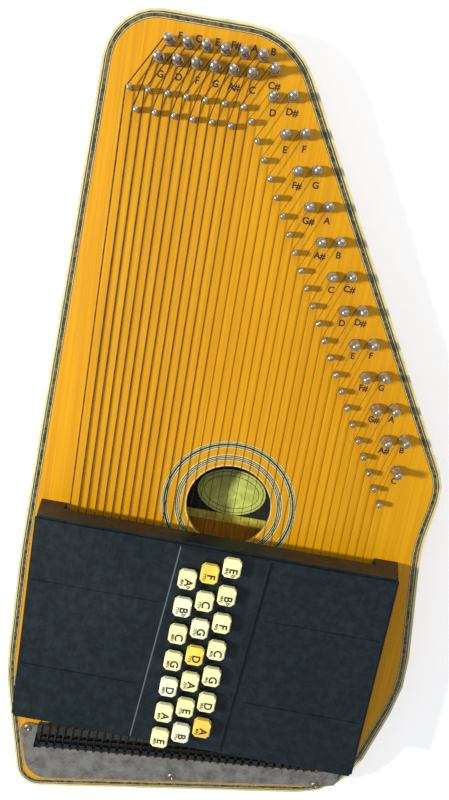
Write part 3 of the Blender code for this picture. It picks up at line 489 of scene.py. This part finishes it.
def close_ends(shape, rings):
    shape.faces.new(rings[0][::-1])
    shape.faces.new(rings[-1])


def band(name, outer, inner, material, base, height):
    """A thin closed ring between two plan loops with as many points."""
    shape = bmesh.new()
    top = base + height
    corners = ((outer, base), (outer, top), (inner, top), (inner, base))
    join_rings(shape, [plan_loop(shape, points, z) for points, z in corners], closed=True)
    return put(name, shape, material)


def sheet_of(name, points, material, base):
    """A thin closed plate over plan points."""
    shape = bmesh.new()
    rings = [plan_loop(shape, points, z) for z in (base, base + SKIN)]
    join_rings(shape, rings)
    close_ends(shape, rings)
    return put(name, shape, material)


def ellipse(centre, half_x, half_y, sides):
    """Plan points round a centre."""
    angles = [2 * math.pi * side / sides for side in range(sides)]
    return [centre + Vector((half_x * math.cos(angle), half_y * math.sin(angle))) for angle in angles]


def circle(radius):
    """Points round the sound hole."""
    return ellipse(HOLE, radius, radius, HOLE_SIDES)


def oval(inset):
    """Points of the label's oval, moved inwards."""
    return ellipse(LABEL, LABEL_HALF_X - inset, LABEL_HALF_Y - inset, LABEL_SIDES)


def strip_of_sheet(low, high):
    """The black sheet's full width between two lines across it."""
    corners = ((SHEET_LEFT, low), (SHEET_RIGHT, low), (SHEET_RIGHT, high), (SHEET_LEFT, high))
    return [Vector(corner) for corner in corners]


def make_inlay():
    """The lines round the board's edge, and the rosette round the sound hole."""
    for index, (start, end, material) in enumerate(EDGE_LINES):
        band(f"edge_inlay_{index}", outline(start), outline(end), material, BOARD_TOP, SKIN)
    for index, (start, end, material) in enumerate(ROSETTE_LINES):
        band(f"rosette_{index}", circle(end), circle(start), material, BOARD_TOP, SKIN)


def make_label():
    """A blank oval on a black sheet, glued to the back under the sound hole."""
    floor_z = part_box("back_panel")[1][2]
    dark = paper("label_black", (0.010, 0.012, 0.010), (0.004, 0.005, 0.004))
    pale_green = paper("label_green", (0.66, 0.72, 0.16), (0.50, 0.55, 0.10))
    strip = paper("label_margin", (0.62, 0.56, 0.06), (0.40, 0.33, 0.03))
    sheet_of("label_ground", strip_of_sheet(-0.0465, 0.012), dark, floor_z)
    sheet_of("label_margin", strip_of_sheet(-0.0535, -0.0466), strip, floor_z)
    sheet_of("label_oval", oval(0), pale_green, floor_z + SKIN)
    for index, inset in enumerate(LABEL_LINE_INSETS):
        band(f"label_line_{index}", oval(inset), oval(inset + LABEL_LINE), dark, floor_z + 2 * SKIN, SKIN)


def pin_place(number):
    """The plan place of a string's tuning pin."""
    if number == len(LOW_NOTES) - 1:
        return LONE_PIN
    if number < len(LOW_NOTES):
        return (LOWER_ROW if number % 2 else UPPER_ROW) + ROW_STEP * (number // 2)
    pair, right = divmod(number - len(LOW_NOTES), 2)
    return PAIRS[right] + PAIR_STEP * pair


def guide_place(number):
    """The plan place of a string's guide pin."""
    x = FIRST_GUIDE_X + STRING_PITCH * number
    if number < len(LOW_NOTES):
        return Vector((x, GUIDE_ROWS_Y[number % 2]))
    return Vector((x, GUIDE_LINE_Y + GUIDE_STEP_Y * (number - len(LOW_NOTES))))


def dome(radius, foot, top, rise):
    """The profile of a round-headed pin, as radius and height over the board."""
    points = [(radius, foot)]
    steps = 6
    for step in range(steps):
        angle = math.pi / 2 * step / steps
        points.append((radius * math.cos(angle), top - rise + rise * math.sin(angle)))
    return points


def turned(shape, place, profile, sides):
    """Adds a closed turned body about an upright axis."""
    rings = []
    for radius, height in profile:
        rings.append(ring(shape, sides, lambda angle: (
            place.x + radius * math.cos(angle), place.y + radius * math.sin(angle), BOARD_TOP + height,
        )))
    join_rings(shape, rings)
    close_ends(shape, rings)


def coil(shape, place):
    """Three turns of string wound round a tuning pin, as one closed tube."""
    turns, steps, sides = 3, 20, 6
    reach, wire, foot, pitch = 0.0032, 0.00052, 0.0028, 0.00112
    rings = []
    for step in range(turns * steps + 1):
        angle = 2 * math.pi * step / steps
        out = Vector((math.cos(angle), math.sin(angle), 0))
        height = foot + pitch * step / steps
        centre = Vector((place.x, place.y, BOARD_TOP + height)) + out * reach
        rings.append(ring(shape, sides, lambda around: (
            centre + (out * math.cos(around) + Vector((0, 0, math.sin(around)))) * wire
        )))
    join_rings(shape, rings)
    close_ends(shape, rings)


def put_pin(name, shape):
    pin = put(name, shape, pin_steel)
    pin.data.shade_smooth()
    pin.data.set_sharp_from_angle(angle=PIN_SMOOTH_ANGLE)


def make_pins():
    """Round heads over the plain pins of the frame, with the coils of string on them."""
    for number in range(STRING_COUNT):
        place = pin_place(number) + SHIFT
        shape = bmesh.new()
        turned(shape, place, dome(0.00265, 0.0004, 0.0186, 0.0014), 20)
        coil(shape, place)
        put_pin(f"tuning_pin_{number}", shape)
        shape = bmesh.new()
        turned(shape, guide_place(number) + SHIFT, dome(0.00208, 0.0003, 0.0088, 0.0013), 16)
        put_pin(f"guide_pin_{number}", shape)


def make_side_screws():
    """Screws that hold the chord-bar base's feet, with their heads outwards."""
    places = []
    for x, outwards in ((BASE_LOW[0] + SIDE_SCREW_LEAN, -1), (BASE_HIGH[0] - SIDE_SCREW_LEAN, 1)):
        places += [(x, y + SHIFT.y, outwards) for y in SIDE_SCREWS_Y]
    for index, (x, y, outwards) in enumerate(places):
        shape = bmesh.new()
        rings = []
        for radius, reach in SIDE_SCREW_RINGS:
            rings.append(ring(shape, SIDE_SCREW_SIDES, lambda angle: (
                x + outwards * reach,
                y + radius * math.cos(angle),
                BOARD_TOP + SIDE_SCREW_HEIGHT + radius * math.sin(angle),
            )))
        join_rings(shape, rings)
        close_ends(shape, rings)
        put(f"side_screw_{index}", shape, pin_steel)


def make_plate_screws():
    """Pan-head screws with a crossed recess, on the tail plate."""
    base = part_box("anchor_plate")[1][2]
    for index, (plan_x, plan_y) in enumerate(PLATE_SCREWS):
        x, y = plan_x + SHIFT.x, plan_y + SHIFT.y
        shape = bmesh.new()
        rings = []
        for share, rise in SCREW_RINGS:
            radius = PLATE_SCREW_RADIUS * share
            rings.append(ring(shape, SCREW_SIDES, lambda angle: (
                x + radius * math.cos(angle),
                y + radius * math.sin(angle),
                base + PLATE_SCREW_RADIUS * rise,
            )))
        for corner in rings[-1][::SLOT_EVERY]:
            corner.co.z -= PLATE_SCREW_RADIUS * SLOT_DEPTH
        join_rings(shape, rings)
        shape.faces.new(rings[0][::-1])
        centre = shape.verts.new((x, y, base + PLATE_SCREW_RADIUS * RECESS_HEIGHT))
        for side in range(SCREW_SIDES):
            shape.faces.new((rings[-1][side], rings[-1][(side + 1) % SCREW_SIDES], centre))
        put(f"plate_screw_{index}", shape, screw_steel)


def write(name, text, place, size, turn=0.0, body="zither"):
    """Flat lettering as a piece of its own, centred on a place."""
    curve = bpy.data.curves.new(name, "FONT")
    curve.body = text
    curve.size = size
    curve.align_x = "CENTER"
    curve.align_y = "CENTER"
    curve.extrude = SKIN / 2
    curve.offset = size * BOLDNESS
    curve.materials.append(ink)
    made = bpy.data.objects.new(name, curve)
    made.location = place
    made.rotation_euler = (0, 0, turn)
    bpy.context.scene.collection.objects.link(made)
    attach(made, body)


def note_name(number):
    if number < len(LOW_NOTES):
        return NOTE_NAMES[LOW_NOTES[number]]
    return NOTE_NAMES[(LOW_NOTES[-1] + 1 + number - len(LOW_NOTES)) % len(NOTE_NAMES)]


def make_note_letters():
    """Each string's note, printed on the board beside its tuning pin."""
    for number in range(STRING_COUNT):
        in_upper_row = number < len(LOW_NOTES) - 1 and number % 2 == 0
        at = pin_place(number) + (RIGHT_OF_PIN if in_upper_row else BELOW_PIN) + SHIFT
        write(f"note_{number}", note_name(number), (at.x, at.y, BOARD_TOP + SKIN), LABEL_SIZE)


def make_button_letters():
    """The chord's root with its kind in small print, both turned to be read from the side."""
    turn = -math.pi / 2
    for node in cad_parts:
        if not node.startswith("button_"):
            continue
        chord = node[len("button_"):]
        low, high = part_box(node)
        x, y, top = (low[0] + high[0]) / 2, (low[1] + high[1]) / 2, high[2]
        kind = CHORD_KINDS.get(chord[-1], "MAJ")
        root = chord.rstrip("7m")
        body = f"chord_{chord}"
        write(f"chord_root_{chord}", root[0], (x + 0.0010, y - 0.0012, top), ROOT_SIZE, turn, body)
        write(f"chord_kind_{chord}", kind, (x - 0.0034, y - 0.0018, top), KIND_SIZE, turn, body)
        if len(root) > 1:
            write(f"chord_flat_{chord}", "b", (x + 0.0018, y - 0.0048, top), FLAT_SIZE, turn, body)


def make_floor():
    """A white floor that gives off a little light, as the photograph's ground is white."""
    shape = bmesh.new()
    bmesh.ops.create_grid(shape, x_segments=1, y_segments=1, size=4.0)
    paint = Paint("floor_looks", 0.8)
    paint.colour(paint.ramp(paint.noise(3), [(0.4, (0.93, 0.93, 0.92)), (0.6, (0.97, 0.97, 0.96))]))
    paint.shader.inputs["Emission Color"].default_value = (1, 1, 1, 1)
    paint.shader.inputs["Emission Strength"].default_value = 0.4
    floor = put("floor", shape, paint.material, None)


def make_camera():
    data = bpy.data.cameras.new("camera")
    data.sensor_width = SENSOR
    data.lens = FOCAL_PIXELS * SENSOR / PHOTO_HEIGHT
    data.clip_start = 0.01
    camera = bpy.data.objects.new("camera", data)
    right = CAMERA_FORWARD.cross(CAMERA_UP)
    axes = Matrix((right, CAMERA_UP, -CAMERA_FORWARD)).transposed().to_4x4()
    camera.matrix_world = Matrix.Translation(CAMERA_PLACE) @ axes
    bpy.context.scene.collection.objects.link(camera)
    bpy.context.scene.camera = camera


def make_light(name, place, size, power, colour):
    """A square lamp aimed at the middle of the part's floor."""
    data = bpy.data.lights.new(name, "AREA")
    data.size = size
    data.energy = power
    data.color = colour
    light = bpy.data.objects.new(name, data)
    light.location = place
    light.rotation_euler = (-Vector(place)).to_track_quat("-Z", "Y").to_euler()
    bpy.context.scene.collection.objects.link(light)


def make_surroundings():
    world = bpy.data.worlds.new("studio")
    world.use_nodes = True
    background = world.node_tree.nodes["Background"]
    background.inputs["Color"].default_value = (0.9, 0.93, 1.0, 1.0)
    background.inputs["Strength"].default_value = 0.45
    bpy.context.scene.world = world
    bpy.context.scene.view_settings.view_transform = "Standard"


dress_nodes()
make_pins()
make_side_screws()
make_inlay()
make_label()
make_note_letters()
make_button_letters()
make_plate_screws()
make_floor()
make_camera()
make_light("key", (-1.1, 0.05, 1.05), 0.16, 26, (1.0, 0.98, 0.94))
make_light("fill", (0.2, 1.6, 1.5), 1.6, 12, (0.94, 0.97, 1.0))
make_surroundings()
